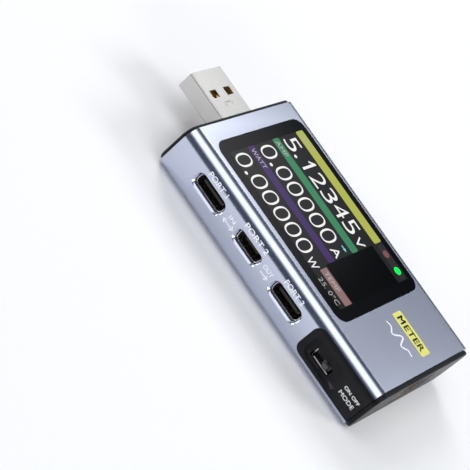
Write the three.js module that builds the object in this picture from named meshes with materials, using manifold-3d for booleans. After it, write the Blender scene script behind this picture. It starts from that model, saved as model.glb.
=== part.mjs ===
// Inline USB power meter: aluminium sleeve, black end caps and side inserts, colour display on top,
// USB-A plug at -X, USB-A socket at +X, three ports on the -Y side, controls and one port on the +Y side.
// Millimetres, +Z up. It lies on its back, so the display looks up.
import * as THREE from 'three';
import { mergeVertices } from 'three/addons/utils/BufferGeometryUtils.js';
import Module from 'manifold-3d';

const wasm = await Module();
wasm.setup();

// ---------- driving dimensions ----------
const LENGTH = 67.9;            // aluminium sleeve, x = 0 at its plug end
const WIDTH = 43.3;
const HEIGHT = 12.4;
const EDGE_R = 3.2;             // long edges of the sleeve
const SIDE_WALL = 1.3;
const TOP_WALL = 1.6;
const BACK_WALL = 1.5;
const CAVITY_R = 1.9;
const HALF = WIDTH / 2;

const PLUG_OUT = 13.5;          // plug tip beyond the sleeve
const CAP_OUT = 1.1;            // socket end cap beyond the sleeve
const CAP_INSET = 0.45;
const FACE_X = LENGTH + CAP_OUT;
const CENTRE_X = (FACE_X - PLUG_OUT) / 2;   // shifts the bounding box onto the origin

const WINDOW = { x0: 4.2, x1: 51.25, y0: -17.35, y1: 18.05, r: 3.0, depth: 0.9 };
const OPENING = { x0: 5.9, x1: 49.6, y0: -15.8, y1: 16.6, r: 1.2 };
const GAP = 0.1;                // clearance between neighbouring pieces
const PCB = { x0: 6.6, x1: 61.2, y: 19.2, z: 7.3, t: 1.2 };
const PANEL = { x0: 5.1, x1: 50.6, y0: -16.9, y1: 17.6, z0: 9.55, z1: 10.7 };   // display panel

const SHEET = 0.3;              // metal sheet of the USB-A shells and the switch frame
const PLUG = { z: 8.4, w: 12.0, h: 4.5, r: 0.38, root: 4.1 };
const PLUG_WINDOW = { x0: -8.35, x1: -6.3, y: 2.8, half: 1.25 };
const PLUG_MARK = { x0: -4.9, x1: -3.8, half: 1.4, groove: 0.22, deep: 0.1 };
const SOCKET = { z: 7.0, w: 13.1, h: 5.76, r: 0.6, back: 55 };
const SPRING = { y: 3.0, half: 1.1, root: 59.5, tip: 65.5, slot: 0.25, bend: 0.4 };
const CONTACT_Y = [-3.5, -1, 1, 3.5];
const CONTACT_HALF = 0.5;

const PORT_Z = 6.7;
const PORT_DEPTH = 1.0;         // connector face behind the side wall
const TYPE_C = { w: 8.94, h: 3.16, r: 1.2, len: 7.3, slope: 0 };
const MICRO = { w: 7.6, h: 2.7, r: 0.8, len: 5.4, slope: 0.55 };
const PORT_SHEET = 0.2;
const PORT_X = { a: 12.65, b: 26.65, c: 40.6, data: 12.7 };

const WING_LOW = 2.2;           // side inserts, measured on the switch side
const WING_HIGH = 10.85;
const WING_DEEP = 2.2;
const WING_R = 2.1;
const INSERT_GAP = 0.08;
const INSERT_SKIN = 1.6;        // thickness of an insert where it fills the wall
const SWITCH_WING_X = 48.85;
const BUTTON_WING_X = 35.2;

const SWITCH = { x: 55.2, z: 5.3, w: 6.2, h: 2.6, knobX: 56.15, knob: 0.66, deep: 2.35, lip: 1.4 };
const SWITCH_RIM = { x0: 50.3, x1: 61.4, z0: 3.1, z1: 10.0, r: 2.3, deep: 1.25 };
const JOG = { x: 45.4, z: 6.6, half: 4.5, h: 2.6, sunk: 0.75, dishR: 8.3, ridge: 0.3, pitch: 0.78 };
const JOG_PIVOT = { y: HALF - 2.9, pin: 0.7 };
const JOG_RIM = { x0: 37.0, x1: 53.7, z0: 4.1, z1: 9.1, r: 2.2, deep: 1.2 };
const BACK = { x: 58.2, z: 6.2, r: 2.65, flange: 0.6, dimple: 1.1 };
const TACT = { dz: -0.5, bore: 0.85, plunger: 0.7, half: 1.7, front: 4.2, back: 6.4 };
const SCREW_X = [3.8, 64.1];
const SCREW_Y = 15.5;
const SCREW = { headR: 1.9, shankR: 0.9, head: 0.95, tip: 5.2, slot: 0.22, slotDeep: 0.55 };
const BOSS = { r: 2.4, top: 6.0, pilotR: 1.05 };
const LABEL = { x0: 10.8, x1: 40.9, y: 12.9, r: 2.0 };

// ---------- rings and lofts ----------
const STEPS = 8;

function roundedLoop(u0, u1, v0, v1, r, steps = STEPS) {
  const pts = [];
  const corners = [[u1 - r, v1 - r, 0], [u0 + r, v1 - r, 1], [u0 + r, v0 + r, 2], [u1 - r, v0 + r, 3]];
  for (const [cu, cv, quarter] of corners) {
    for (let i = 0; i <= steps; i++) {
      const a = (quarter + i / steps) * Math.PI / 2;
      pts.push([cu + r * Math.cos(a), cv + r * Math.sin(a)]);
    }
  }
  return pts;
}
function circleLoop(cu, cv, r, n = 28) {
  return Array.from({ length: n }, (_, i) => {
    const a = i / n * 2 * Math.PI;
    return [cu + r * Math.cos(a), cv + r * Math.sin(a)];
  });
}
// rounded outline whose lower corners are cut off at a slope
function keyedLoop(u0, u1, v0, v1, r, slope) {
  return roundedLoop(u0, u1, v0, v1, r).map(([u, v]) => {
    const low = Math.max(0, (v1 - v) / (v1 - v0) - 0.4) * slope;
    return [u + Math.sign((u0 + u1) / 2 - u) * low, v];
  });
}
const onX = (loop, x) => loop.map(([y, z]) => [x, y, z]);
const onY = (loop, y) => loop.map(([x, z]) => [x, y, z]);
const onZ = (loop, z) => loop.map(([x, y]) => [x, y, z]);

// closed skin through rings of equal length, with fan caps on the first and last ring
function loft(...rings) {
  const n = rings[0].length;
  const pts = rings.flat();
  const mid = ring => [0, 1, 2].map(k => ring.reduce((s, p) => s + p[k], 0) / n);
  pts.push(mid(rings[0]), mid(rings[rings.length - 1]));
  const tris = [];
  const far = (rings.length - 1) * n;
  for (let i = 0; i < n; i++) {
    const j = (i + 1) % n;
    for (let k = 0; k < far; k += n) tris.push([k + i, k + j, k + n + j], [k + i, k + n + j, k + n + i]);
    tris.push([pts.length - 2, j, i], [pts.length - 1, far + i, far + j]);
  }
  const v = pts.map(p => new THREE.Vector3(...p));
  const volume = tris.reduce((s, [a, b, c]) => s + v[a].dot(v[b].clone().cross(v[c])), 0);
  const geometry = new THREE.BufferGeometry();
  geometry.setAttribute('position', new THREE.Float32BufferAttribute(pts.flat(), 3));
  geometry.setIndex(tris.flatMap(t => (volume < 0 ? [t[0], t[2], t[1]] : t)));
  return geometry;
}
const prismX = (loop, x0, x1) => loft(onX(loop, x0), onX(loop, x1));
const prismY = (loop, y0, y1) => loft(onY(loop, y0), onY(loop, y1));
const prismZ = (loop, z0, z1) => loft(onZ(loop, z0), onZ(loop, z1));
function box(x0, x1, y0, y1, z0, z1) {
  return new THREE.BoxGeometry(x1 - x0, y1 - y0, z1 - z0)
    .translate((x0 + x1) / 2, (y0 + y1) / 2, (z0 + z1) / 2);
}

// ---------- joining and cutting ----------
function toSolid(geometry) {
  const g = geometry.clone();
  g.deleteAttribute('normal');
  g.deleteAttribute('uv');
  const m = mergeVertices(g, 1e-5);
  return new wasm.Manifold(new wasm.Mesh({
    numProp: 3,
    vertProperties: new Float32Array(m.attributes.position.array),
    triVerts: new Uint32Array(m.index.array),
  }));
}
const asSolid = g => (g instanceof THREE.BufferGeometry ? toSolid(g) : g);
const join = (...gs) => gs.map(asSolid).reduce((a, b) => a.add(b));
const cut = (g, ...tools) => tools.map(asSolid).reduce((a, b) => a.subtract(b), asSolid(g));
const common = (a, b) => asSolid(a).intersect(asSolid(b));

function toGeometry(solid) {
  if (solid instanceof THREE.BufferGeometry) return solid;
  const mesh = solid.getMesh();
  const g = new THREE.BufferGeometry();
  const flat = new Float32Array(mesh.numVert * 3);
  for (let i = 0; i < mesh.numVert; i++) {
    for (let k = 0; k < 3; k++) flat[3 * i + k] = mesh.vertProperties[i * mesh.numProp + k];
  }
  g.setAttribute('position', new THREE.BufferAttribute(flat, 3));
  g.setIndex(new THREE.BufferAttribute(new Uint32Array(mesh.triVerts), 1));
  return g;
}

// ---------- materials ----------
const look = (color, roughness, metalness = 0) => ({ color, roughness, metalness });
const ALUMINIUM = look(0x9fa6bc, 0.32, 1);
const BLACK_PLASTIC = look(0x1b1c1e, 0.45);
const GLASS_BLACK = look(0x0c0d0e, 0.08);
const NICKEL = look(0xc9c8c4, 0.3, 1);
const GOLD = look(0xd8a648, 0.25, 1);
const WHITE_PLASTIC = look(0xe6e3da, 0.5);
const TONGUE_ORANGE = look(0xc98222, 0.5);
const DARK_GREY = look(0x3a3b3f, 0.5);
const BOARD = look(0x14402c, 0.5);
const CHIP = look(0x202124, 0.55);
const FOIL = look(0xb66a2a, 0.5);

const group = new THREE.Group();
group.name = 'usb_power_meter';
function add(name, solid, style) {
  const geometry = toGeometry(solid).clone().translate(-CENTRE_X, 0, 0);
  const flat = geometry.index ? geometry.toNonIndexed() : geometry;
  flat.computeVertexNormals();
  const mesh = new THREE.Mesh(flat, new THREE.MeshStandardMaterial(style));
  mesh.name = name;
  group.add(mesh);
}

// ---------- sleeve ----------
const sleeveLoop = (inset, r, steps) => roundedLoop(-HALF + inset, HALF - inset,
  inset, HEIGHT - inset, r, steps);

const cavityLoop = inset => roundedLoop(-HALF + SIDE_WALL + inset, HALF - SIDE_WALL - inset,
  BACK_WALL + inset, HEIGHT - TOP_WALL - inset, CAVITY_R - inset);

// opening for a connector in the wall on side s (-1 or +1), with a 45 degree chamfer at the surface
function portCut(s, x, z, size, margin, chamfer = 0.4) {
  const loop = grow => keyedLoop(x - size.w / 2 - grow, x + size.w / 2 + grow,
    z - size.h / 2 - grow, z + size.h / 2 + grow, size.r + grow, size.slope);
  return join(
    loft(onY(loop(margin + chamfer + 0.3), s * (HALF + 0.3)), onY(loop(margin), s * (HALF - chamfer))),
    prismY(loop(margin), s * (HALF - chamfer + 0.05), s * (HALF - SIDE_WALL - 1)));
}
const wingZ = (s, grow) => (s < 0
  ? [WING_LOW - grow, WING_HIGH + grow]
  : [HEIGHT - WING_HIGH - grow, HEIGHT - WING_LOW + grow]);
function wingNotch(s, x0, grow) {
  const [z0, z1] = wingZ(s, grow);
  const loop = roundedLoop(x0 - grow, LENGTH + 6, z0, z1, WING_R + grow);
  return prismY(loop, s * (HALF - 3.2), s * (HALF + 1));
}
function screwHole(x, y) {
  return join(prismZ(circleLoop(x, y, SCREW.headR + 0.25), -1, 1.0),
    prismZ(circleLoop(x, y, SCREW.shankR + 0.25), 0.9, 3));
}
function sleeve() {
  const outer = prismX(sleeveLoop(0, EDGE_R, 10), 0, LENGTH);
  const inner = prismX(cavityLoop(0), -1, LENGTH + 1);
  const pocket = prismZ(windowLoop(0), HEIGHT - WINDOW.depth, HEIGHT + 1);
  const opening = prismZ(roundedLoop(OPENING.x0, OPENING.x1, OPENING.y0, OPENING.y1, OPENING.r), 9, HEIGHT);
  const label = prismZ(roundedLoop(LABEL.x0, LABEL.x1, -LABEL.y, LABEL.y, LABEL.r), -1, 0.8);
  const screws = SCREW_X.flatMap(x => [screwHole(x, -SCREW_Y), screwHole(x, SCREW_Y)]);
  return cut(outer, inner, pocket, opening, label, ...screws,
    portCut(-1, PORT_X.a, PORT_Z, TYPE_C, 0.1), portCut(-1, PORT_X.c, PORT_Z, TYPE_C, 0.1),
    portCut(-1, PORT_X.b, PORT_Z, MICRO, 0.12), portCut(1, PORT_X.data, PORT_Z, MICRO, 0.12),
    wingNotch(-1, SWITCH_WING_X, 0), wingNotch(1, BUTTON_WING_X, 0));
}

// ---------- end caps ----------
const usbLoop = (size, grow) => roundedLoop(-size.w / 2 - grow, size.w / 2 + grow,
  size.z - size.h / 2 - grow, size.z + size.h / 2 + grow, Math.max(size.r + grow, 0.1));

function capPlate(xIn, xOut) {
  const bevel = 0.25;
  const ring = (inset, x) => onX(sleeveLoop(CAP_INSET + inset, EDGE_R - CAP_INSET + 0.15 - inset, STEPS), x);
  return loft(ring(0, xIn), ring(0, xOut - bevel * Math.sign(xOut - xIn)), ring(bevel, xOut));
}
// hollow spigot of the cap inside the sleeve
function spigot(half, x0, x1) {
  const wall = 1.2;
  const ring = (inset, r) => roundedLoop(-half + inset, half - inset,
    BACK_WALL + 0.2 + inset, HEIGHT - TOP_WALL - 0.2 - inset, r);
  return cut(prismX(ring(0, 1.6), x0, x1), prismX(ring(wall, 0.8), x0 - 1, x1 + 1));
}
// boss that takes a screw from the back, tied to the cap's plate
function boss(x, y, xPlate) {
  const half = BOSS.r - 0.5;
  return join(prismZ(circleLoop(x, y, BOSS.r), BACK_WALL + GAP, BOSS.top),
    box(Math.min(x, xPlate), Math.max(x, xPlate), y - half, y + half, BACK_WALL + 0.3, BOSS.top));
}
const pilot = (x, y) => prismZ(circleLoop(x, y, BOSS.pilotR), 0, SCREW.tip + 0.2);

function plugEndCap() {
  const x = SCREW_X[0];
  const plate = capPlate(-0.04, -0.9);
  return cut(join(plate, spigot(20.1, -0.1, 2.4), boss(x, SCREW_Y, -0.1), boss(x, -SCREW_Y, -0.1)),
    prismX(usbLoop(PLUG, 0.12), -2, 6), pilot(x, SCREW_Y), pilot(x, -SCREW_Y));
}
function socketEndCap() {
  const x = SCREW_X[1];
  const rim = loft(onX(usbLoop(SOCKET, GAP), FACE_X - 0.45), onX(usbLoop(SOCKET, GAP + 0.7), FACE_X + 0.25));
  return cut(join(capPlate(LENGTH + GAP, FACE_X), spigot(19.1, 65.4, LENGTH + 0.2),
    boss(x, SCREW_Y, LENGTH + 0.2), boss(x, -SCREW_Y, LENGTH + 0.2)),
    prismX(usbLoop(SOCKET, GAP), 60, FACE_X + 1), rim, pilot(x, SCREW_Y), pilot(x, -SCREW_Y));
}

// ---------- side inserts ----------
// insert without its openings: a skin flush with the sleeve, and a wider flange behind the wall
const span = (a, b) => [Math.min(a, b), Math.max(a, b)];
function insertBlank(s, x0) {
  const sink = 0.04;
  const lap = 0.9;
  const full = prismX(sleeveLoop(sink, EDGE_R - sink, 10), x0, LENGTH);
  const skin = common(common(full, wingNotch(s, x0, -INSERT_GAP)),
    box(x0, LENGTH, ...span(s * (HALF - INSERT_SKIN), s * (HALF + 1)), 0, HEIGHT));
  const flange = common(prismX(cavityLoop(0.12), x0 - lap, LENGTH - 0.2),
    box(x0 - 1, LENGTH, ...span(s * (HALF - SIDE_WALL - 0.12), s * (HALF - WING_DEEP)), 0, HEIGHT));
  return join(skin, flange);
}
// finger scoop: a rounded rim at the surface that curves down like a bowl to a smaller slot
function scoop(s, rim, slot) {
  const mix = (a, b, t) => a + (b - a) * t;
  const ring = t => {
    const loop = roundedLoop(mix(rim.x0, slot.x0, t), mix(rim.x1, slot.x1, t),
      mix(rim.z0, slot.z0, t), mix(rim.z1, slot.z1, t), mix(rim.r, slot.r, t));
    return onY(loop, s * (HALF + 0.02 - rim.deep * Math.sin(t * Math.PI / 2)));
  };
  const floor = roundedLoop(slot.x0, slot.x1, slot.z0, slot.z1, slot.r);
  const bowl = loft(...[0, 0.12, 0.3, 0.5, 0.75, 1].map(ring));
  return join(bowl, prismY(floor, s * (HALF - rim.deep + 0.1), s * (HALF - 4)));
}
function switchInsert() {
  const slot = { x0: SWITCH.x - SWITCH.w / 2 - 0.15, x1: SWITCH.x + SWITCH.w / 2 - 0.3,
    z0: SWITCH.z - SWITCH.h / 2 - 0.15, z1: SWITCH.z + SWITCH.h / 2 - 0.35, r: 0.3 };
  return cut(insertBlank(-1, SWITCH_WING_X), scoop(-1, SWITCH_RIM, slot));
}
function buttonInsert() {
  const slot = { x0: JOG.x - 6.2, x1: JOG.x + 6.2, z0: JOG.z - 1.6, z1: JOG.z + 1.6, r: 0.7 };
  const hole = circleLoop(BACK.x, BACK.z, BACK.r + 0.2);
  return cut(insertBlank(1, BUTTON_WING_X), scoop(1, JOG_RIM, slot), prismY(hole, HALF + 1, HALF - 4));
}

// ---------- connectors ----------
// plug shell: latch windows through both faces, a pressed mark on top and the sheet's seam underneath
function plugShell() {
  const tip = -PLUG_OUT;
  const top = PLUG.z + PLUG.h / 2;
  const tube = cut(prismX(usbLoop(PLUG, 0), tip, PLUG.root),
    prismX(usbLoop(PLUG, -SHEET), tip - 1, PLUG.root + 1));
  const hole = y => box(PLUG_WINDOW.x0, PLUG_WINDOW.x1, y - PLUG_WINDOW.half, y + PLUG_WINDOW.half,
    PLUG.z - PLUG.h, PLUG.z + PLUG.h);
  const seam = box(tip - 1, PLUG.root + 1, -0.05, 0.05, PLUG.z - PLUG.h, PLUG.z - PLUG.h / 2 + SHEET + 0.1);
  const { x0, x1, half, groove, deep } = PLUG_MARK;
  const line = (xa, xb, ya, yb) => box(xa, xb, ya, yb, top - deep, top + 1);
  return cut(tube, hole(-PLUG_WINDOW.y), hole(PLUG_WINDOW.y), seam,
    line(x0, x1, -half, -half + groove), line(x0, x1, half - groove, half),
    line(x0, x0 + groove, -half, half));
}
const plugInsulator = () => box(-PLUG_OUT + 0.4, PLUG.root - GAP, -5.6, 5.6, PLUG.z - 1.9, PLUG.z);
// flat spring contact lying on an insulator's face at height z
const contact = (x0, x1, y, z) => box(x0, x1, y - CONTACT_HALF, y + CONTACT_HALF, z, z + 0.2);
const plugContact = y => contact(-PLUG_OUT + 0.9, -1.5, y, PLUG.z + 0.02);

// socket shell with two bent springs in its top sheet and two in its bottom sheet
function socketShell() {
  const shell = cut(prismX(usbLoop(SOCKET, 0), SOCKET.back, FACE_X - GAP),
    prismX(usbLoop(SOCKET, -SHEET), SOCKET.back - 1, FACE_X + 1));
  const spots = [-1, 1].flatMap(side => [-SPRING.y, SPRING.y].map(y => [side, y]));
  const slots = spots.map(([side, y]) => {
    const z = SOCKET.z + side * (SOCKET.h / 2 - SHEET / 2);
    const wide = SPRING.half + SPRING.slot;
    return box(SPRING.root, SPRING.tip + SPRING.slot, y - wide, y + wide, z - SHEET, z + SHEET);
  });
  const leaves = spots.map(([side, y]) => {
    const ring = (x, inward) => {
      const z = SOCKET.z + side * (SOCKET.h / 2 - inward);
      const low = z - side * SHEET;
      const [y0, y1] = [y - SPRING.half, y + SPRING.half];
      return onX([[y0, z], [y1, z], [y1, low], [y0, low]], x);
    };
    return loft(ring(SPRING.root - 0.4, 0.01), ring(SPRING.root + 3.6, SPRING.bend), ring(SPRING.tip, 0.1));
  });
  return join(cut(shell, ...slots), ...leaves);
}
function socketTongue() {
  return join(box(SOCKET.back + 0.2, 57.0, -6.15, 6.15, SOCKET.z - 2.45, SOCKET.z + 2.45),
    box(56.9, FACE_X - 1.0, -5.55, 5.55, SOCKET.z + 0.25, SOCKET.z + 2.1));
}
const socketContact = y => contact(58.0, FACE_X - 1.6, y, SOCKET.z + 0.03);

function portLoop(x, size, grow) {
  return keyedLoop(x - size.w / 2 - grow, x + size.w / 2 + grow,
    PORT_Z - size.h / 2 - grow, PORT_Z + size.h / 2 + grow, Math.max(size.r + grow, 0.1), size.slope);
}
function portShell(s, x, size) {
  const y0 = s * (HALF - PORT_DEPTH);
  const y1 = s * (HALF - PORT_DEPTH - size.len);
  return cut(prismY(portLoop(x, size, 0), y0, y1), prismY(portLoop(x, size, -PORT_SHEET), y0 + s, y1 - s));
}
function portTongue(s, x, size, tongueW, tongueH, dz) {
  const back = s * (HALF - PORT_DEPTH - size.len);
  return join(prismY(portLoop(x, size, -PORT_SHEET - 0.03), back + s * 0.1, back + s * 1.5),
    box(x - tongueW / 2, x + tongueW / 2, ...span(back + s * 1.4, s * (HALF - PORT_DEPTH - 0.9)),
      PORT_Z + dz - tongueH / 2, PORT_Z + dz + tongueH / 2));
}

// ---------- slide switch ----------
function switchFrame() {
  const loop = grow => roundedLoop(SWITCH.x - SWITCH.w / 2 - grow, SWITCH.x + SWITCH.w / 2 + grow,
    SWITCH.z - SWITCH.h / 2 - grow, SWITCH.z + SWITCH.h / 2 + grow, 0.25);
  const notchX = SWITCH.x - SWITCH.w / 2 + 0.35;
  const notch = box(notchX, notchX + 0.5, -HALF, -HALF + 3.2,
    SWITCH.z - SWITCH.h, SWITCH.z - SWITCH.h / 2 + 0.5);
  const low = SWITCH.z - SWITCH.h / 2;
  const lip = box(SWITCH.x - SWITCH.w / 2 + 0.3, SWITCH.x + SWITCH.w / 2 - 0.6, -HALF + SWITCH.lip, -HALF + 3,
    low, low + SHEET);
  return cut(join(prismY(loop(0), -HALF + SWITCH.deep, -HALF + 4.6), lip),
    prismY(loop(-SHEET), -HALF, -HALF + 6), notch);
}
const switchBase = () => box(SWITCH.x - 2.75, SWITCH.x + 2.75, -HALF + 2.9, -HALF + 4.5,
  SWITCH.z - 0.95, SWITCH.z + 0.95);
function switchKnob() {
  const x = SWITCH.knobX;
  const half = SWITCH.knob;
  const section = roundedLoop(x - half, x + half, SWITCH.z - half, SWITCH.z + half, 0.15);
  const stem = prismY(section, -HALF + 0.55, -HALF + 2.2);
  return join(stem, box(x - 1.2, x + 1.2, -HALF + 2.0, -HALF + 2.8, SWITCH.z - 0.9, SWITCH.z + 0.9));
}

// ---------- jog lever and back button ----------
function jogLever() {
  const zs = [JOG.z - JOG.h / 2, JOG.z + JOG.h / 2];
  const top = HALF - JOG.sunk;
  const pad = box(JOG.x - JOG.half, JOG.x + JOG.half, top - 0.9, top, ...zs);
  const dish = prismZ(circleLoop(JOG.x, top + JOG.dishR - 0.4, JOG.dishR, 72), zs[0] - 1, zs[1] + 1);
  const ridge = x => prismZ(circleLoop(x, top - 0.05, JOG.ridge, 16), zs[0] + 0.1, zs[1] - 0.1);
  const fromMiddle = i => JOG.half + 0.35 - JOG.pitch * i;
  const ridges = [1, 2, 3].flatMap(i => [ridge(JOG.x - fromMiddle(i)), ridge(JOG.x + fromMiddle(i))]);
  const stem = box(JOG.x - JOG_PIVOT.pin, JOG.x + JOG_PIVOT.pin, JOG_PIVOT.y, top - 0.5,
    JOG.z - 0.75, JOG.z + 0.75);
  const pin = prismZ(circleLoop(JOG.x, JOG_PIVOT.y, JOG_PIVOT.pin, 24), JOG.z - 0.75, JOG.z + 0.75);
  return join(cut(pad, dish), ...ridges, stem, pin);
}
function jogSlider() {
  const y = JOG_PIVOT.y;
  const block = box(JOG.x - 1.5, JOG.x + 1.5, y - 1.9, y + 0.2, JOG.z - 0.9, JOG.z + 0.9);
  const bore = JOG_PIVOT.pin + 0.15;
  return cut(block, prismZ(circleLoop(JOG.x, y, bore, 24), 0, HEIGHT),
    box(JOG.x - bore, JOG.x + bore, y, y + 1, 0, HEIGHT));
}
function jogHousing() {
  const y = JOG_PIVOT.y;
  return cut(box(JOG.x - 3.2, JOG.x + 3.2, y - 4.2, y - 0.3, JOG.z - 1.4, JOG.z + 1.4),
    box(JOG.x - 1.65, JOG.x + 1.65, y - 2.4, y + 1, JOG.z - 1.05, JOG.z + 1.05));
}
function backButton() {
  const disc = r => circleLoop(BACK.x, BACK.z, r, 48);
  const edge = 0.15;
  const body = loft(onY(disc(BACK.r), HALF - 2.3), onY(disc(BACK.r), HALF - edge),
    onY(disc(BACK.r - edge), HALF));
  const dimple = loft(onY(disc(BACK.dimple), HALF + 0.1), onY(disc(BACK.dimple - 0.3), HALF - 0.35));
  return cut(join(body, prismY(disc(BACK.r + BACK.flange), HALF - 2.25, HALF - 2.8)), dimple);
}
// push switch under the board that the button works
const tactRound = r => circleLoop(BACK.x, BACK.z + TACT.dz, r, 24);
const tactBody = () => cut(
  box(BACK.x - TACT.half, BACK.x + TACT.half, HALF - TACT.back, HALF - TACT.front, BACK.z - 2.0, PCB.z - GAP),
  prismY(tactRound(TACT.bore), HALF - TACT.back + 1, HALF));
const tactPlunger = () => prismY(tactRound(TACT.plunger), HALF - TACT.front - 0.7, HALF - 2.85);

// ---------- display stack and board ----------
const windowLoop = gap => roundedLoop(WINDOW.x0 + gap, WINDOW.x1 - gap,
  WINDOW.y0 + gap, WINDOW.y1 - gap, WINDOW.r - gap);
const lens = () => prismZ(windowLoop(GAP), HEIGHT - WINDOW.depth + 0.02, HEIGHT - 0.05);
const lcdPanel = () => box(PANEL.x0, PANEL.x1, PANEL.y0, PANEL.y1, PANEL.z0, PANEL.z1);
const TRAY = { z0: 8.75, z1: 9.5, rim: 4, grow: 0.2 };
const backlight = () => cut(
  box(PANEL.x0, PANEL.x1 + 0.3, PANEL.y0 - TRAY.grow, PANEL.y1 + TRAY.grow, TRAY.z0, TRAY.z1),
  box(PANEL.x0 + TRAY.rim, PANEL.x1 - TRAY.rim, PANEL.y0 + TRAY.rim, PANEL.y1 - TRAY.rim,
    9.2, TRAY.z1 + GAP));
// flat ribbon folded from the panel's edge down to the board
const RIBBON = { half: 6, t: 0.15, x: 52.4, top: 10.15, low: 8.6 };
function ribbon() {
  const { half, t, x, top, low } = RIBBON;
  return join(box(PANEL.x1 + 0.05, x, -half, half, top - t, top), box(x - t, x, -half, half, low + t, top),
    box(PANEL.x1 + 0.35, x, -half, half, low, low + t));
}

function board() {
  const notch = (s, x, size) => {
    const y = s * (HALF - PORT_DEPTH - size.len - 0.2);
    return box(x - size.w / 2 - 0.3, x + size.w / 2 + 0.3, ...span(y, s * HALF), 0, HEIGHT);
  };
  const plate = box(PCB.x0, PCB.x1, -PCB.y, PCB.y, PCB.z, PCB.z + PCB.t);
  return cut(join(plate, box(4.4, PCB.x0 + 0.4, -8, 8, PCB.z, PCB.z + PCB.t)),
    notch(-1, PORT_X.a, TYPE_C), notch(-1, PORT_X.b, MICRO), notch(-1, PORT_X.c, TYPE_C),
    notch(1, PORT_X.data, MICRO),
    box(54.7, 70, -7.0, 7.0, 0, HEIGHT), box(JOG.x - 6.5, 62, 18.1, 22, 0, HEIGHT),
    box(JOG.x - 3.5, JOG.x + 3.5, JOG_PIVOT.y - 4.5, HALF, 0, HEIGHT));
}
function underBoard(x, y, w, d, h) {
  const solder = 0.03;
  return box(x - w / 2, x + w / 2, y - d / 2, y + d / 2, PCB.z - solder - h, PCB.z - solder);
}

function labelPlate() {
  const loop = g => roundedLoop(LABEL.x0 + g, LABEL.x1 - g, -LABEL.y + g, LABEL.y - g, LABEL.r - g * 0.6);
  const plate = prismZ(loop(0.06), 0.06, 0.78);
  return cut(plate, loft(onZ(loop(0.55), -0.2), onZ(loop(1.2), 0.4)));
}
function screw(x, y) {
  const { headR, shankR, slot, slotDeep } = SCREW;
  const disc = (r, z) => onZ(circleLoop(x, y, r), z);
  const head = loft(disc(headR - 0.3, 0.12), disc(headR, 0.35), disc(headR, SCREW.head));
  const cross = join(box(x - shankR, x + shankR, y - slot, y + slot, 0, slotDeep),
    box(x - slot, x + slot, y - shankR, y + shankR, 0, slotDeep));
  return cut(join(head, prismZ(circleLoop(x, y, shankR, 20), SCREW.head - 0.05, SCREW.tip)), cross);
}

// ---------- assembly ----------
add('housing_sleeve', sleeve(), ALUMINIUM);
add('plug_end_cap', plugEndCap(), BLACK_PLASTIC);
add('socket_end_cap', socketEndCap(), BLACK_PLASTIC);
add('switch_side_insert', switchInsert(), BLACK_PLASTIC);
add('button_side_insert', buttonInsert(), BLACK_PLASTIC);
add('display_window', lens(), GLASS_BLACK);
add('lcd_panel', lcdPanel(), DARK_GREY);
add('backlight_tray', backlight(), WHITE_PLASTIC);
add('display_ribbon', ribbon(), FOIL);
add('main_board', board(), BOARD);
add('back_label_plate', labelPlate(), BLACK_PLASTIC);

add('usb_plug_shell', plugShell(), NICKEL);
add('usb_plug_insulator', plugInsulator(), BLACK_PLASTIC);
CONTACT_Y.forEach((y, i) => add(`usb_plug_contact_${i + 1}`, plugContact(y), GOLD));
add('usb_socket_shell', socketShell(), NICKEL);
add('usb_socket_tongue', socketTongue(), TONGUE_ORANGE);
CONTACT_Y.forEach((y, i) => add(`usb_socket_contact_${i + 1}`, socketContact(y), GOLD));

add('type_c_port_1_shell', portShell(-1, PORT_X.a, TYPE_C), NICKEL);
add('type_c_port_1_tongue', portTongue(-1, PORT_X.a, TYPE_C, 6.7, 0.7, 0), CHIP);
add('micro_port_shell', portShell(-1, PORT_X.b, MICRO), NICKEL);
add('micro_port_tongue', portTongue(-1, PORT_X.b, MICRO, 4.4, 0.6, 0.35), CHIP);
add('type_c_port_2_shell', portShell(-1, PORT_X.c, TYPE_C), NICKEL);
add('type_c_port_2_tongue', portTongue(-1, PORT_X.c, TYPE_C, 6.7, 0.7, 0), CHIP);
add('data_port_shell', portShell(1, PORT_X.data, MICRO), NICKEL);
add('data_port_tongue', portTongue(1, PORT_X.data, MICRO, 4.4, 0.6, 0.35), CHIP);

add('slide_switch_frame', switchFrame(), NICKEL);
add('slide_switch_base', switchBase(), CHIP);
add('slide_switch_knob', switchKnob(), DARK_GREY);
add('jog_lever', jogLever(), BLACK_PLASTIC);
add('jog_slider', jogSlider(), DARK_GREY);
add('jog_switch_housing', jogHousing(), NICKEL);
add('back_button', backButton(), BLACK_PLASTIC);
add('back_switch_plunger', tactPlunger(), DARK_GREY);
add('back_switch_body', tactBody(), NICKEL);

const screwPlaces = SCREW_X.flatMap(x => [[x, -SCREW_Y], [x, SCREW_Y]]);
screwPlaces.forEach(([x, y], i) => add(`screw_${i + 1}`, screw(x, y), NICKEL));

add('microcontroller_chip', underBoard(24, 4, 7, 7, 0.9), CHIP);
add('converter_chip', underBoard(35, 3, 5, 5, 0.8), CHIP);
add('memory_chip', underBoard(24, -6, 5, 4, 1.4), CHIP);
add('shunt_resistor', underBoard(47, 0, 6.3, 3.1, 0.8), NICKEL);
add('power_switch_chip', underBoard(11.5, 1, 5, 6, 1.0), CHIP);
add('storage_capacitor', underBoard(34, 12, 3.5, 2.8, 1.9), FOIL);

export default group;
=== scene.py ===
"""Looks of the USB power meter: materials, screen, printed legends, contacts, studio and camera.

Places are millimetres in the sleeve's own terms: x from its plug end, y from its middle plane (ports on -y,
buttons on +y), z from its back. at() turns them into metres in the model's frame.
"""

import math

import bmesh
import bpy
from mathutils import Matrix, Vector

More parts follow.
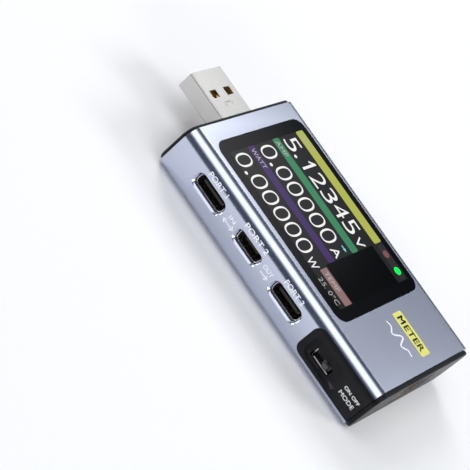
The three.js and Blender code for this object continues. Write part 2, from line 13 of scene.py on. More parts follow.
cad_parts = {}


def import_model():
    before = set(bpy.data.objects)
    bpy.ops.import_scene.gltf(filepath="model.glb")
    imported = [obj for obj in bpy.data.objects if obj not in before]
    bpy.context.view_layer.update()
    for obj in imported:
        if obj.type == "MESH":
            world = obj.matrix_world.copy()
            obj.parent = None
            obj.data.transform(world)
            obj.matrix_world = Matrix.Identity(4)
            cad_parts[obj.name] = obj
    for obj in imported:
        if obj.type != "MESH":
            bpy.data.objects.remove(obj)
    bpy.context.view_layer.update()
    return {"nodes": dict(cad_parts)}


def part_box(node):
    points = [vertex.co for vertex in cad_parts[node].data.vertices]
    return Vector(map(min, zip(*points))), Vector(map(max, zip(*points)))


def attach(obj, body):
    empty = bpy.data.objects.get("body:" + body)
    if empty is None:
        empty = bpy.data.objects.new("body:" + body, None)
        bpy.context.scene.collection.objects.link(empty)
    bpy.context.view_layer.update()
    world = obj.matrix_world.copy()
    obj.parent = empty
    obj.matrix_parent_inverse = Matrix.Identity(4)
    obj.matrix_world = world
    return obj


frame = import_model()

# ---------- driving sizes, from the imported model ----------
MM = 0.001
SLEEVE_LOW, SLEEVE_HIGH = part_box("housing_sleeve")
HALF = SLEEVE_HIGH.y / MM
TOP = SLEEVE_HIGH.z / MM
EDGE_R = 3.2                    # rounding along the sleeve's four long edges
GLASS_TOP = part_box("display_window")[1].z / MM
BODY = "meter_body"


def at(x, y, z):
    """A place in millimetres, as metres in the model's frame."""
    return Vector((SLEEVE_LOW.x + x * MM, y * MM, z * MM))


def in_mm(box):
    """A box's spans (x0, x1), (y0, y1) and (z0, z1), in the same millimetres as at() takes."""
    low, high = box
    return (((low.x - SLEEVE_LOW.x) / MM, (high.x - SLEEVE_LOW.x) / MM), (low.y / MM, high.y / MM),
            (low.z / MM, high.z / MM))


# ---------- material building ----------
class Shader:
    """A Principled material with short ways to add the noise that drives its colour, gloss and bump."""

    def __init__(self, name, colour, rough, metal=0.0):
        self.mat = bpy.data.materials.new(name)
        self.mat.use_nodes = True
        self.nodes = self.mat.node_tree.nodes
        self.links = self.mat.node_tree.links
        self.out = self.nodes["Principled BSDF"]
        self.set("Base Color", (*colour, 1))
        self.set("Roughness", rough)
        self.set("Metallic", metal)
        self.place = self.nodes.new("ShaderNodeTexCoord").outputs["Object"]

    def set(self, socket, value):
        self.out.inputs[socket].default_value = value
        return self

    def noise(self, scale, detail=3, stretch=(1, 1, 1)):
        mapping = self.nodes.new("ShaderNodeMapping")
        mapping.inputs["Scale"].default_value = stretch
        texture = self.nodes.new("ShaderNodeTexNoise")
        texture.inputs["Scale"].default_value = scale
        texture.inputs["Detail"].default_value = detail
        self.links.new(self.place, mapping.inputs["Vector"])
        self.links.new(mapping.outputs["Vector"], texture.inputs["Vector"])
        return texture.outputs["Fac"]

    def colour(self, source, low, high):
        ramp = self.nodes.new("ShaderNodeValToRGB")
        for element, position, shade in zip(ramp.color_ramp.elements, (0.3, 0.7), (low, high)):
            element.position = position
            element.color = (*shade, 1)
        self.links.new(source, ramp.inputs["Fac"])
        self.links.new(ramp.outputs["Color"], self.out.inputs["Base Color"])
        return self

    def rough(self, source, low, high):
        span = self.nodes.new("ShaderNodeMapRange")
        span.inputs["To Min"].default_value = low
        span.inputs["To Max"].default_value = high
        self.links.new(source, span.inputs["Value"])
        self.links.new(span.outputs["Result"], self.out.inputs["Roughness"])
        return self

    def bump(self, source, height_mm, strength=0.3):
        bump = self.nodes.new("ShaderNodeBump")
        bump.inputs["Distance"].default_value = height_mm * MM
        bump.inputs["Strength"].default_value = strength
        self.links.new(source, bump.inputs["Height"])
        self.links.new(bump.outputs["Normal"], self.out.inputs["Normal"])
        return self


def anodised(name, colour, rough):
    """Bead-blasted, dyed aluminium: a fine even grain with slow changes of tone."""
    s = Shader(name, colour, rough, 1.0)
    dark = tuple(c * 0.96 for c in colour)
    s.colour(s.noise(60, 4), dark, colour)
    s.rough(s.noise(2500, 3), rough - 0.03, rough + 0.03)
    return s.bump(s.noise(5000, 3), 0.004, 0.06).mat


def moulded(name, colour, rough, grain=4500, specular=0.5):
    """Injection-moulded plastic with a fine spark-eroded grain."""
    s = Shader(name, colour, rough).set("Specular IOR Level", specular)
    light = tuple(min(1, c * 1.35 + 0.002) for c in colour)
    s.colour(s.noise(350, 4), colour, light)
    s.rough(s.noise(700, 3), rough - 0.06, rough + 0.08)
    return s.bump(s.noise(grain, 2), 0.02, 0.25).mat


def plated(name, colour, rough, brush=(1, 14, 14)):
    """Plated sheet metal: faint rolling lines along x and small changes of gloss."""
    s = Shader(name, colour, rough, 1.0)
    dark = tuple(c * 0.93 for c in colour)
    s.colour(s.noise(160, 4), dark, colour)
    s.rough(s.noise(420, 4, brush), rough - 0.03, rough + 0.04)
    return s.bump(s.noise(900, 3, brush), 0.0005, 0.04).mat


def printed(name, colour, rough=0.45, specular=0.5):
    """Screen-printed ink, slightly uneven."""
    s = Shader(name, colour, rough).set("Specular IOR Level", specular)
    s.colour(s.noise(1200, 2), tuple(c * 0.9 for c in colour), colour)
    return s.bump(s.noise(5000, 1), 0.004, 0.1).mat


def lit_pixels(name, colour, glow):
    """A lit area of the display under its cover glass: emission with a fine pixel weave."""
    s = Shader(name, tuple(c * 0.04 for c in colour), 0.06)
    weave = s.nodes.new("ShaderNodeTexChecker")
    weave.inputs["Scale"].default_value = 9000
    weave.inputs["Color1"].default_value = (*colour, 1)
    weave.inputs["Color2"].default_value = (*(c * 0.86 for c in colour), 1)
    s.links.new(s.place, weave.inputs["Vector"])
    s.links.new(weave.outputs["Color"], s.out.inputs["Emission Color"])
    s.set("Emission Strength", glow)
    s.set("Specular IOR Level", 0.1)
    s.set("Specular Tint", (0.5, 0.5, 0.52, 1))
    return s.mat


def cover_glass(name):
    """Dark glass over the display, with a slightly uneven gloss."""
    s = Shader(name, (0.0015, 0.0015, 0.002), 0.05)
    s.set("Specular IOR Level", 0.1)
    s.set("Specular Tint", (0.75, 0.75, 0.78, 1))
    return s.rough(s.noise(60, 3), 0.04, 0.09).mat


ALUMINIUM = anodised("blue_grey_aluminium", (0.565, 0.60, 0.725), 0.22)
BLACK = moulded("black_plastic", (0.007, 0.007, 0.008), 0.36, specular=0.15)
GLASS = cover_glass("black_cover_glass")
NICKEL = plated("nickel_plate", (0.62, 0.61, 0.59), 0.26)
STEEL = plated("screw_steel", (0.55, 0.56, 0.60), 0.3, (3, 3, 3))
GOLD = plated("gold_plate", (0.83, 0.58, 0.22), 0.22)
AMBER = moulded("amber_plastic", (0.42, 0.20, 0.03), 0.4)
WHITE_PLASTIC = moulded("white_plastic", (0.72, 0.70, 0.66), 0.45)
GREY = moulded("grey_plastic", (0.05, 0.05, 0.055), 0.4)
CHIP = moulded("chip_black", (0.014, 0.014, 0.016), 0.55, 2500)
TONGUE = moulded("tongue_black", (0.009, 0.006, 0.002), 0.45)
BOARD = moulded("green_board", (0.010, 0.085, 0.035), 0.35, 1500)
FILM = moulded("copper_film", (0.36, 0.15, 0.03), 0.35)
CERAMIC = moulded("tan_ceramic", (0.34, 0.22, 0.12), 0.5)
INK = printed("white_ink", (0.92, 0.93, 0.96))
YELLOW_INK = printed("yellow_ink", (0.74, 0.73, 0.17), 0.4)
BLACK_INK = printed("black_ink", (0.003, 0.003, 0.003), 0.6, specular=0.08)
GREY_INK = printed("grey_ink", (0.16, 0.16, 0.17), 0.5)

# ---------- finishing the CAD nodes ----------
CAD_LOOKS = {
    ALUMINIUM: ["housing_sleeve"],
    BLACK: ["plug_end_cap", "socket_end_cap", "switch_side_insert", "button_side_insert", "back_label_plate",
            "jog_lever", "back_button"],
    GLASS: ["display_window"],
    GREY: ["lcd_panel", "slide_switch_knob", "jog_slider", "back_switch_plunger"],
    WHITE_PLASTIC: ["backlight_tray"],
    FILM: ["display_ribbon"],
    BOARD: ["main_board"],
    NICKEL: ["usb_plug_shell", "usb_socket_shell", "type_c_port_1_shell", "type_c_port_2_shell",
             "micro_port_shell", "data_port_shell", "slide_switch_frame", "jog_switch_housing",
             "back_switch_body", "shunt_resistor"],
    GOLD: [f"usb_{part}_contact_{i}" for part in ("plug", "socket") for i in range(1, 5)],
    AMBER: ["usb_socket_tongue", "usb_plug_insulator"],
    TONGUE: ["type_c_port_1_tongue", "type_c_port_2_tongue", "micro_port_tongue", "data_port_tongue"],
    CHIP: ["slide_switch_base", "microcontroller_chip", "converter_chip", "memory_chip", "power_switch_chip"],
    STEEL: [f"screw_{i}" for i in range(1, 5)],
    CERAMIC: ["storage_capacitor"],
}
# width in millimetres of each node's rounded edges
EDGE_WIDTH = {"housing_sleeve": 0.07, "plug_end_cap": 0.1, "socket_end_cap": 0.1, "switch_side_insert": 0.14,
              "button_side_insert": 0.14, "back_button": 0.12, "jog_lever": 0.12, "slide_switch_knob": 0.1}
OTHER_EDGES = 0.05


def soften(obj, width_mm):
    """Welds the CAD mesh, merges its flat triangles, rounds its sharp edges and smooths its shading."""
    obj.modifiers.new("weld", "WELD").merge_threshold = 1e-6
    flat = obj.modifiers.new("merge_flats", "DECIMATE")
    flat.decimate_type = "DISSOLVE"
    flat.angle_limit = math.radians(1.0)
    round_off = obj.modifiers.new("round_edges", "BEVEL")
    round_off.width = width_mm * MM
    round_off.segments = 3
    round_off.limit_method = "ANGLE"
    round_off.angle_limit = math.radians(32)
    obj.modifiers.new("shade", "WEIGHTED_NORMAL").weight = 60
    for polygon in obj.data.polygons:
        polygon.use_smooth = True


for look, names in CAD_LOOKS.items():
    for name in names:
        node = frame["nodes"][name]
        node.data.materials.clear()
        node.data.materials.append(look)
        soften(node, EDGE_WIDTH.get(name, OTHER_EDGES))


# ---------- small makers ----------
def mesh_piece(name, bm, material, body=BODY, smooth=False):
    """Turns a bmesh into a piece that rides on a body."""
    mesh = bpy.data.meshes.new(name)
    bmesh.ops.recalc_face_normals(bm, faces=bm.faces)
    bm.to_mesh(mesh)
    bm.free()
    mesh.materials.append(material)
    for polygon in mesh.polygons:
        polygon.use_smooth = smooth
    obj = bpy.data.objects.new(name, mesh)
    bpy.context.scene.collection.objects.link(obj)
    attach(obj, body)
    return obj


def rounded_outline(x0, x1, y0, y1, r, steps=6):
    """A rectangle's outline with corners of radius r."""
    centres = [(x1 - r, y1 - r, 0), (x0 + r, y1 - r, 1), (x0 + r, y0 + r, 2), (x1 - r, y0 + r, 3)]
    turns = [(cx, cy, (quarter + i / steps) * math.pi / 2)
             for cx, cy, quarter in centres for i in range(steps + 1)]
    return [(cx + r * math.cos(a), cy + r * math.sin(a)) for cx, cy, a in turns]


def slab(name, outline, z0, z1, material):
    """A flat closed plate with this (x, y) outline between two heights, in millimetres."""
    bm = bmesh.new()
    low = [bm.verts.new(at(x, y, z0)) for x, y in outline]
    high = [bm.verts.new(at(x, y, z1)) for x, y in outline]
    bm.faces.new(low[::-1])
    bm.faces.new(high)
    for i in range(len(low)):
        j = (i + 1) % len(low)
        bm.faces.new((low[i], low[j], high[j], high[i]))
    return mesh_piece(name, bm, material)


def blocks(name, spans, material):
    """Small blocks with softened edges as one piece; each is (x0, x1, y0, y1, z0, z1) in millimetres."""
    bm = bmesh.new()
    for x0, x1, y0, y1, z0, z1 in spans:
        low, high = at(x0, y0, z0), at(x1, y1, z1)
        verts = bmesh.ops.create_cube(bm, size=1)["verts"]
        for v in verts:
            v.co = [low[k] if v.co[k] < 0 else high[k] for k in range(3)]
    piece = mesh_piece(name, bm, material, smooth=True)
    thinnest = min(min(s[1] - s[0], s[3] - s[2], s[5] - s[4]) for s in spans)
    round_off = piece.modifiers.new("round_edges", "BEVEL")
    round_off.width = thinnest * 0.2 * MM
    round_off.segments = 2
    piece.modifiers.new("shade", "WEIGHTED_NORMAL")
    return piece


def disc(cx, cy, r, steps=28):
    """A circle's outline."""
    return [(cx + r * math.cos(2 * math.pi * i / steps), cy + r * math.sin(2 * math.pi * i / steps))
            for i in range(steps)]


INK_DEPTH = 0.03                # thickness of printed letters and lines
FONT_SIZE = 10
CAPITAL_SHARE = 0.729           # height of the built-in font's capitals, as a share of its size


def text_mesh(words, height, weight):
    """Closed flat letters on the line y = 0 from x = 0, with capitals of this height, and their width."""
    curve = bpy.data.curves.new("letters", "FONT")
    curve.body = words
    curve.size = FONT_SIZE
    curve.offset = weight
    curve.extrude = 0.5
    curve.resolution_u = 8
    holder = bpy.data.objects.new("letters", curve)
    bpy.context.scene.collection.objects.link(holder)
    bpy.context.view_layer.update()
    mesh = bpy.data.meshes.new_from_object(holder.evaluated_get(bpy.context.evaluated_depsgraph_get()))
    bpy.data.objects.remove(holder)
    xs = [v.co.x for v in mesh.vertices]
    left = min(xs)
    scale = height / (CAPITAL_SHARE * FONT_SIZE)
    for v in mesh.vertices:
        v.co = ((v.co.x - left) * scale, v.co.y * scale, v.co.z * INK_DEPTH)
    return mesh, (max(xs) - left) * scale


def place_letters(name, mesh, material, put, slices=0):
    """Slices the letters into level strips if they have to bend, and puts every vertex where put() says."""
    bm = bmesh.new()
    bm.from_mesh(mesh)
    bmesh.ops.remove_doubles(bm, verts=bm.verts, dist=1e-5)
    low, high = min(v.co.y for v in bm.verts), max(v.co.y for v in bm.verts)
    for i in range(1, slices):
        everything = bm.verts[:] + bm.edges[:] + bm.faces[:]
        bmesh.ops.bisect_plane(bm, geom=everything, plane_co=(0, low + (high - low) * i / slices, 0),
                               plane_no=(0, 1, 0))
    for v in bm.verts:
        v.co = put(v.co.x, v.co.y, v.co.z)
    bpy.data.meshes.remove(mesh)
    return mesh_piece(name, bm, material)


DIGIT_WIDTH = 3.5
DIGIT_HEIGHT = 5.5
DIGIT_DEPTH = 0.015
ZERO_SIDE, ZERO_CAP = 0.5, 0.38  # stroke of the 0 at its sides, and at its top and bottom


def zero_mesh():
    """A tall rounded 0 with thicker sides, as a closed ring from x = 0."""
    bm = bmesh.new()
    steps, half, tall = 48, DIGIT_WIDTH / 2, DIGIT_HEIGHT / 2

    def squarish(turn):
        return math.copysign(abs(turn) ** 0.86, turn)

    def loop(rx, ry, z):
        turns = [2 * math.pi * i / steps for i in range(steps)]
        return [bm.verts.new((half + rx * squarish(math.cos(a)), tall + ry * squarish(math.sin(a)), z))
                for a in turns]

    inner = (half - ZERO_SIDE, tall - ZERO_CAP)
    rings = [loop(half, tall, 0), loop(half, tall, DIGIT_DEPTH), loop(*inner, DIGIT_DEPTH), loop(*inner, 0)]
    for a, b in zip(rings, rings[1:] + rings[:1]):
        for i in range(steps):
            bm.faces.new((a[i], a[(i + 1) % steps], b[(i + 1) % steps], b[i]))
    mesh = bpy.data.meshes.new("zero")
    bm.to_mesh(mesh)
    bm.free()
    return mesh


def digit_piece(name, digit, x, y, material, z):
    """One digit centred on x; 0 and 1 are drawn, the rest come from the font."""
    left = x - DIGIT_WIDTH / 2
    if digit == "0":
        place_letters(name, zero_mesh(), material, lambda a, u, o: at(left + a, y + u, z + o))
    elif digit == "1":
        flag = [(-0.85, 3.75), (-0.5, 3.45), (0.1, 4.35)]
        stem = [(0.1, 0.0), (0.75, 0.0), (0.75, DIGIT_HEIGHT), (0.3, DIGIT_HEIGHT)]
        slab(name, [(x + a, y + u) for a, u in flag + stem], z, z + DIGIT_DEPTH, material)
    else:
        label_top(name, digit, left, y, DIGIT_HEIGHT, material, DIGIT_WIDTH, z, -0.1)


def label_top(name, words, x, y, height, material, width, z, weight=0.0):
    """Words on the display side at height z, reading along +x; x, y is the start of the base line."""
    mesh, natural = text_mesh(words, height, weight)
    squeeze = width / natural
    return place_letters(name, mesh, material, lambda a, u, o: at(x + a * squeeze, y + u, z + o))


def sleeve_side(z):
    """How far the sleeve's side stands from the middle plane at height z."""
    over = max(z - (TOP - EDGE_R), EDGE_R - z, 0.0)
    return HALF - EDGE_R + math.sqrt(EDGE_R**2 - over**2)


def label_side(name, words, x, z, height, side, width, weight=0.1):
    """White words following a long side's rounding: upright on the port side, upside down on the other."""
    mesh, natural = text_mesh(words, height, weight)
    squeeze = width / natural

    def put(a, u, o):
        level = z - side * u
        return at(x + a * squeeze, side * (sleeve_side(level) + o), level)

    return place_letters(name, mesh, INK, put, slices=8)


LINE_WIDTH = 0.28


def stroke(name, points, put, width=LINE_WIDTH):
    """A flat white line of even width through points (u, v), laid on a surface by put(u, v, out)."""
    bm = bmesh.new()
    section = ((1, 0.0), (1, INK_DEPTH), (-1, INK_DEPTH), (-1, 0.0))
    rows = []
    for before, (u, v), after in zip(points[:1] + points, points, points[1:] + points[-1:]):
        du, dv = after[0] - before[0], after[1] - before[1]
        size = math.hypot(du, dv)
        nu, nv = -dv / size * width / 2, du / size * width / 2
        rows.append([bm.verts.new(put(u + s * nu, v + s * nv, o)) for s, o in section])
    for a, b in zip(rows, rows[1:]):
        for k in range(4):
            bm.faces.new((a[k], b[k], b[(k + 1) % 4], a[(k + 1) % 4]))
    bm.faces.new(rows[0])
    bm.faces.new(rows[-1][::-1])
    return mesh_piece(name, bm, INK)


def on_top(u, v, o):
    return at(u, v, TOP + o)


def on_port_side(u, v, o):
    return at(u, -(sleeve_side(v) + o), v)


def on_button_side(u, v, o):
    return at(u, sleeve_side(v) + o, v)


# ---------- the display ----------
SCREEN = {"x0": 7.4, "x1": 48.2, "y0": -14.4, "y1": 16.2}
SPLIT_X = 38.1                  # the readings end here and the status column begins
LAYER = 0.012                   # each lit area stands this much above the one below
LETTERS_Z = GLASS_TOP + 0.03
READINGS = {                    # digits, base line, and the bar's place and colour
    "volt": ("512345", 6.65, 13.15, 16.15, (0.50, 0.54, 0.10)),
    "amp": ("000000", -3.85, 2.95, 5.6, (0.055, 0.27, 0.13)),
    "watt": ("000000", -14.2, -7.3, -4.8, (0.065, 0.035, 0.15)),
}
DIGIT_X = [9.95, 15.7, 19.87, 24.03, 28.2, 32.36]
POINT_X = 12.87


def lit_area(name, outline, colour, glow=0.9, layers=2):
    """An area of one colour on the display; layers says how far it stands above the glass."""
    slab(name, outline, GLASS_TOP, GLASS_TOP + layers * LAYER, lit_pixels(name, colour, glow))


def display():
    """Three readings with their bars, a temperature and two status dots."""
    slab("screen_ground", rounded_outline(SCREEN["x0"], SCREEN["x1"], SCREEN["y0"], SCREEN["y1"], 0.3),
         GLASS_TOP - 0.01, GLASS_TOP + LAYER, lit_pixels("screen_ground", (0.020, 0.020, 0.021), 1.0))
    block = rounded_outline(SPLIT_X, SCREEN["x1"], -8.9, 11.8, 0.1)
    lit_area("screen_block", block, (0.001, 0.001, 0.001), 1.0)
    for row, (_, _, y0, y1, colour) in READINGS.items():
        lit_area(f"{row}_bar", rounded_outline(SCREEN["x0"], SPLIT_X, y0, y1, 0.5), colour)
    lit_area("temperature_bar", rounded_outline(38.6, 48.0, -12.0, -9.2, 0.2), (0.32, 0.19, 0.185))
    lit_area("status_pill", rounded_outline(38.5, 47.9, 13.3, 15.9, 1.29), (0.035, 0.035, 0.036))
    lit_area("status_dot_red", disc(41.2, 14.6, 1.0), (0.24, 0.09, 0.09), 1.0, 3)
    lit_area("status_dot_green", disc(45.7, 14.45, 1.0), (0.0, 1.0, 0.08), 1.6, 3)

    white = lit_pixels("screen_white", (0.95, 0.95, 0.95), 1.0)
    dim = lit_pixels("screen_dim", (0.55, 0.55, 0.55), 0.8)
    faint = lit_pixels("screen_faint", (0.55, 0.57, 0.52), 0.8)
    cyan = lit_pixels("screen_cyan", (0.25, 0.75, 0.85), 1.0)
    for row, (digits, line, *_) in READINGS.items():
        for i, (digit, x) in enumerate(zip(digits, DIGIT_X)):
            digit_piece(f"{row}_digit_{i + 1}", digit, x, line, white, LETTERS_Z)
        slab(f"{row}_point", disc(POINT_X, line + 0.45, 0.45, 16), GLASS_TOP, GLASS_TOP + 0.05, white)
    units = (("volt", "V", 6.7, 2.6), ("amp", "A", -3.85, 2.6), ("watt", "W", -14.1, 2.9))
    for row, letter, y, wide in units:
        label_top(f"{row}_unit", letter, 35.2, y, 2.9, white, wide, LETTERS_Z)
    for row, y, wide in (("volt", 13.9, 5.2), ("amp", 3.5, 4.2), ("watt", -6.8, 5.2)):
        label_top(f"{row}_word", row.upper(), 8.1, y, 1.5, faint, wide, LETTERS_Z)
    label_top("temperature_word", "TEMP", 39.5, -11.3, 1.5, faint, 5.0, LETTERS_Z)
    label_top("temperature_value", "25. 0°C", 40.1, -14.6, 1.6, dim, 7.0, LETTERS_Z, weight=-0.1)
    arrow = [(35.5, 1.0), (36.4, 1.0), (36.4, 0.7), (37.3, 1.15), (36.4, 1.6), (36.4, 1.3), (35.5, 1.3)]
    slab("flow_arrow", arrow, GLASS_TOP, GLASS_TOP + 0.05, cyan)


# ---------- printed legends ----------
BADGE_LINE = 2.45               # base line and capitals of the badge's word
BADGE_CAPITALS = 2.2


def top_print():
    """A yellow badge with a word, and a plain wave beside it."""
    slab("badge_plate", rounded_outline(53.8, 65.1, 1.7, 5.4, 0.5), TOP - 0.01, TOP + 0.02, YELLOW_INK)
    m_shape = [(0, 0), (0.42, 0), (0.42, 1.5), (0.95, 0.75), (1.48, 1.5), (1.48, 0), (1.9, 0),
               (1.9, BADGE_CAPITALS), (1.5, BADGE_CAPITALS), (0.95, 1.42), (0.4, BADGE_CAPITALS),
               (0, BADGE_CAPITALS)]
    slab("badge_word_m", [(54.9 + a, BADGE_LINE + u) for a, u in m_shape], TOP + 0.03, TOP + 0.06, BLACK_INK)
    label_top("badge_word", "ETER", 57.35, BADGE_LINE, BADGE_CAPITALS, BLACK_INK, 6.65, TOP + 0.03, 0.12)

    def swing(t):
        """Two and a half waves, tallest in the middle, for t from 0 to 1."""
        return 1.6 * math.exp(-((t - 0.5) / 0.3) ** 2) * math.sin(5 * math.pi * t)

    stroke("wave_mark", [(54.6 + 9.3 * i / 60, -1.8 + swing(i / 60)) for i in range(61)], on_top, 0.36)


def arrow_line(name, x0, x1, z, heads):
    """A thin arrow along x on the port side, with a head at one or both ends."""
    stroke(f"{name}_line", [(x0 + 0.2, z), (x1 - 0.2, z)], on_port_side)
    for end, way in heads:
        tip = x1 if way > 0 else x0
        back = tip - way * 0.75
        stroke(f"{name}_{end}", [(back, z + 0.6), (tip, z), (back, z - 0.6)], on_port_side)


def port_side_print():
    """Words over the ports, arrows between them and words beside the switch."""
    for i, (x0, x1) in enumerate(((9.5, 15.8), (22.75, 30.5), (37.3, 43.4)), 1):
        label_side(f"port_{i}_word", f"PORT {i}", x0, 9.45, 1.15, -1, x1 - x0)
    label_side("in_word", "IN", 19.2, 7.35, 1.05, -1, 1.9)
    arrow_line("in_arrow", 18.5, 21.9, 6.3, (("head_a", -1), ("head_b", 1)))
    label_side("out_word", "OUT", 31.8, 7.35, 1.05, -1, 3.1)
    arrow_line("out_arrow", 32.0, 34.6, 6.3, (("head", 1),))
    label_side("switch_word", "ON OFF", 62.1, 6.75, 0.85, -1, 4.8)
    label_side("mode_word", "MODE", 62.1, 4.95, 1.05, -1, 4.6, weight=0.0)


def button_side_print():
    """Words for the jog lever, the button and the port, with a curved arrow for the lever."""
    label_side("ok_word", "OK", 28.0, 8.7, 1.5, 1, 3.4)
    label_side("back_word", "BACK", 62.2, 6.7, 1.25, 1, 4.3, weight=0.15)
    curve = [(29.2 + 3.1 * math.cos(a), 6.9 - 2.2 * math.sin(a))
             for a in (math.radians(150 - 7.5 * i) for i in range(17))]
    stroke("turn_arrow_line", curve, on_button_side)
    x, z = curve[-1]
    stroke("turn_arrow_head", [(x - 1.0, z - 0.35), (x, z), (x + 0.05, z - 1.1)], on_button_side)
    label_side("data_word", "PC", 5.0, 8.7, 1.1, 1, 1.9)


# ---------- contacts inside the ports ----------
TYPE_C_PITCH = 0.5
MICRO_PITCH = 0.65
STRIP = 0.015                   # half thickness of a contact strip


def port_contacts():
    """Contact strips on the tongues: 12 a face on the type-C ports, 5 on one face of the micro ports."""
    for port in ("type_c_port_1", "type_c_port_2"):
        (x0, x1), (front, _), (z0, z1) = in_mm(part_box(f"{port}_tongue"))
        middle, z = (x0 + x1) / 2, (z0 + z1) / 2
        strips = [(middle + TYPE_C_PITCH * (i - 5.5), z + side * 0.35) for i in range(12) for side in (-1, 1)]
        ends = (front + 0.35, front + 3.6)
        blocks(f"{port}_contacts", [(x - 0.13, x + 0.13, *ends, face - STRIP, face + STRIP)
                                    for x, face in strips], GOLD)
        blocks(f"{port}_shield", [(x - 0.03, x + 0.03, front + 0.2, front + 3.4, z - 0.24, z + 0.24)
                                  for x in (middle - 3.36, middle + 3.36)], NICKEL)
    face = TOP - 5.65
    for port, side in (("micro_port", -1), ("data_port", 1)):
        (x0, x1), ends, _ = in_mm(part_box(f"{port}_tongue"))
        front = ends[0] if side < 0 else ends[1]
        near, far = sorted((front - side * 0.3, front - side * 3.0))
        strips = [(x0 + x1) / 2 + MICRO_PITCH * (i - 2) for i in range(5)]
        blocks(f"{port}_contacts", [(x - 0.16, x + 0.16, near, far, face - STRIP, face + STRIP)
                                    for x in strips], GOLD)


# ---------- small parts on the board ----------
def leg_row(low, high, pitch):
    """Places of the legs along one side of a chip, centred on it."""
    last = int((high - low - 0.6) / pitch)
    return [(low + high) / 2 + pitch * (i - last / 2) for i in range(last + 1)]


def chip_legs():
    """Rows of tinned legs round the controller and the converter, and along two sides of the other chips."""
    half, reach = 0.12, 0.35
    legs = []
    for name, pitch, all_round in (("microcontroller_chip", 0.5, True), ("converter_chip", 0.5, True),
                                   ("memory_chip", 1.27, False), ("power_switch_chip", 0.95, False)):
        (x0, x1), (y0, y1), (_, top) = in_mm(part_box(name))
        level = (top - 0.12, top + 0.02)
        legs += [(x - half, x + half, y - reach, y + reach, *level)
                 for x in leg_row(x0, x1, pitch) for y in (y0 - reach, y1 + reach)]
        if all_round:
            legs += [(x - reach, x + reach, y - half, y + half, *level)
                     for y in leg_row(y0, y1, pitch) for x in (x0 - reach, x1 + reach)]
    blocks("chip_legs", legs, NICKEL)


# start of each row, how many stand in it along y, and what they are
SMALL_ROWS = [(17.5, -2.0, 5, "capacitor"), (17.5, 9.5, 6, "capacitor"), (29.5, -12.0, 5, "capacitor"),
              (30.5, 8.0, 3, "resistor"), (40.0, -5.0, 5, "resistor"), (40.0, 8.0, 4, "resistor"),
              (47.0, -8.0, 4, "capacitor"), (47.0, 6.0, 4, "capacitor"), (17.0, -12.0, 4, "resistor")]
SMALL_PITCH = 1.3
SMALL_HEIGHT = {"capacitor": 0.5, "resistor": 0.35}


def small_parts():
    """Rows of small capacitors and resistors under the board, each with two tinned ends."""
    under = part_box("main_board")[0].z / MM
    bodies = {"capacitor": [], "resistor": []}
    ends = []
    for x, start, count, kind in SMALL_ROWS:
        low = under - SMALL_HEIGHT[kind]
        for i in range(count):
            y = start + SMALL_PITCH * i
            bodies[kind].append((x - 0.5, x + 0.5, y - 0.35, y + 0.35, low, under + 0.01))
            ends += [(end - 0.14, end + 0.14, y - 0.37, y + 0.37, low - 0.02, under + 0.02)
                     for end in (x - 0.6, x + 0.6)]
    blocks("small_capacitors", bodies["capacitor"], CERAMIC)
    blocks("small_resistors", bodies["resistor"], CHIP)
    blocks("solder_ends", ends, NICKEL)


# ---------- print on the back label ----------
LABEL_FACE = 0.4                # height of the recessed label's face
ROW_START = -9.6
ROW_ENDS = [9.4, 6.2, 8.0, 1.5, 7.2, -1.0]


def back_print():
    """A yellow bar and rows of thin bars standing for the label's small print, on the recessed face."""
    level = (LABEL_FACE - 0.02, LABEL_FACE + 0.01)
    slab("label_bar", rounded_outline(14.0, 17.0, -7.3, 6.6, 0.4), *level, YELLOW_INK)
    for i, end in enumerate(ROW_ENDS):
        x = 20.4 + 2.6 * i
        slab(f"label_row_{i + 1}", rounded_outline(x, x + 0.7, ROW_START, end, 0.3), *level, GREY_INK)


display()
top_print()
port_side_print()
button_side_print()
back_print()
port_contacts()
chip_legs()
small_parts()


# ---------- studio ----------
def floor():
    """A plain pale floor, eight metres square."""
    mesh = bpy.data.meshes.new("floor")
    corners = [(-4, -4, 0), (4, -4, 0), (4, 4, 0), (-4, 4, 0)]
    mesh.from_pydata(corners, [], [(0, 1, 2, 3)])
    s = Shader("pale_floor", (0.86, 0.86, 0.87), 0.9)
    s.set("Specular IOR Level", 0.1)
    mesh.materials.append(s.mat)
    obj = bpy.data.objects.new("floor", mesh)
    bpy.context.scene.collection.objects.link(obj)


def direction(azimuth, elevation):
    """A unit vector; azimuth 0 is +x, 90 is +y."""
    a, e = math.radians(azimuth), math.radians(elevation)
    return Vector((math.cos(a) * math.cos(e), math.sin(a) * math.cos(e), math.sin(e)))


LIGHT_DISTANCE = 1.3


def softbox(name, azimuth, elevation, width, height, power):
    """An area light that looks at the object from this direction."""
    light = bpy.data.lights.new(name, "AREA")
    light.shape = "RECTANGLE"
    light.size, light.size_y = width, height
    light.energy = power
    obj = bpy.data.objects.new(name, light)
    obj.location = direction(azimuth, elevation) * LIGHT_DISTANCE
    obj.rotation_euler = obj.location.to_track_quat("Z", "Y").to_euler()
    obj.visible_camera = False
    bpy.context.scene.collection.objects.link(obj)


def ramp_node(nodes, links, source, stops):
    """A smooth curve of brightness through (position, value) stops."""
    ramp = nodes.new("ShaderNodeValToRGB")
    ramp.color_ramp.interpolation = "EASE"
    band = ramp.color_ramp.elements
    while len(band) < len(stops):
        band.new(0.5)
    for element, (position, value) in zip(band, stops):
        element.position = position
        element.color = (value, value, value, 1)
    links.new(source, ramp.inputs["Fac"])
    return ramp.outputs["Color"]


def math_node(nodes, links, operation, first, second):
    """The result of a Math node fed by sockets or plain numbers."""
    node = nodes.new("ShaderNodeMath")
    node.operation = operation
    for socket, value in zip(node.inputs, (first, second)):
        if isinstance(value, (int, float)):
            socket.default_value = value
        else:
            links.new(value, socket)
    return node.outputs[0]


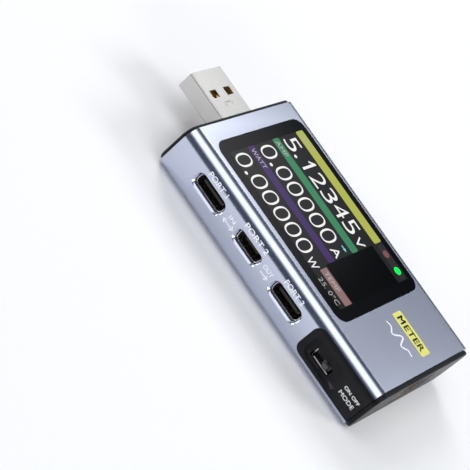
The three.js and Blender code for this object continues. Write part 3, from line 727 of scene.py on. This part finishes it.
# brightness by the angle from the -y horizon (0) over the zenith (0.5) to the +y horizon (1)
OVERHEAD = [(0.0, 0.0), (0.24, 0.0), (0.34, 1.75), (0.50, 1.75), (0.60, 0.03), (1.0, 0.0)]
BEHIND = [(0.765, 0.0), (0.79, 2.5), (0.814, 2.5), (0.826, 1.05), (0.836, 0.1), (0.9, 0.05), (1.0, 0.15)]
# brightness across x, from -x (0) to +x (1)
OVERHEAD_ACROSS = [(0.0, 0.1), (0.2, 0.2), (0.3, 1.0), (0.7, 1.0), (0.8, 0.2), (1.0, 0.1)]
BEHIND_ACROSS = [(0.3, 1.4), (0.39, 1.35), (0.406, 1.15), (0.428, 0.65), (0.444, 0.12), (0.462, 0.15),
                 (0.485, 1.1), (0.56, 1.0), (0.75, 0.05)]
ROOM = (0.055, 0.072, 0.10)     # light of the room itself


def world():
    """A dim room with a long soft light overhead, tipped to -y, and a soft wash behind that fades to +x."""
    room = bpy.data.worlds.new("studio")
    room.use_nodes = True
    nodes, links = room.node_tree.nodes, room.node_tree.links
    split = nodes.new("ShaderNodeSeparateXYZ")
    links.new(nodes.new("ShaderNodeTexCoord").outputs["Generated"], split.inputs["Vector"])
    ahead = math_node(nodes, links, "MULTIPLY", split.outputs["Y"], -1.0)
    turn = math_node(nodes, links, "ARCTAN2", split.outputs["Z"], ahead)
    arc = math_node(nodes, links, "DIVIDE", turn, math.pi)
    across = math_node(nodes, links, "MULTIPLY_ADD", split.outputs["X"], 0.5)
    across.node.inputs[2].default_value = 0.5
    strip = ramp_node(nodes, links, arc, OVERHEAD)
    overhead = math_node(nodes, links, "MULTIPLY", strip, ramp_node(nodes, links, across, OVERHEAD_ACROSS))
    behind = ramp_node(nodes, links, arc, BEHIND)
    fade = ramp_node(nodes, links, across, BEHIND_ACROSS)
    wash = math_node(nodes, links, "MULTIPLY", behind, fade)
    lights = math_node(nodes, links, "ADD", overhead, wash)
    total = nodes.new("ShaderNodeVectorMath")
    links.new(lights, total.inputs[0])
    total.inputs[1].default_value = ROOM
    links.new(total.outputs["Vector"], nodes["Background"].inputs["Color"])
    bpy.context.scene.world = room


CAMERA_PLACE = (97.5, -397.8, 248.8)
CAMERA_AZIMUTH, CAMERA_ELEVATION, CAMERA_ROLL = 101.2759, -32.3814, 49.0258
CAMERA_LENS = 166.35
CAMERA_SHIFT = 0.0068


def camera():
    """A long lens above the port side, looking down at the object and rolled."""
    data = bpy.data.cameras.new("camera")
    data.sensor_width = 36
    data.lens = CAMERA_LENS
    data.shift_x = CAMERA_SHIFT
    data.clip_start = 0.01
    obj = bpy.data.objects.new("camera", data)
    level = direction(CAMERA_AZIMUTH, CAMERA_ELEVATION).to_track_quat("-Z", "Y").to_matrix().to_4x4()
    roll = Matrix.Rotation(math.radians(CAMERA_ROLL), 4, "Z")
    obj.matrix_world = Matrix.Translation(at(*CAMERA_PLACE)) @ level @ roll
    bpy.context.scene.collection.objects.link(obj)
    bpy.context.scene.camera = obj


floor()
world()
softbox("key_left", 147, 34, 0.5, 0.5, 6.5)
softbox("key_right", 33, 34, 0.5, 0.5, 6.5)
softbox("fill_left", 214, 8, 0.6, 0.3, 6.5)
softbox("fill_right", 323, 14, 0.5, 0.3, 5.0)
camera()
bpy.context.scene.view_settings.view_transform = "Standard"
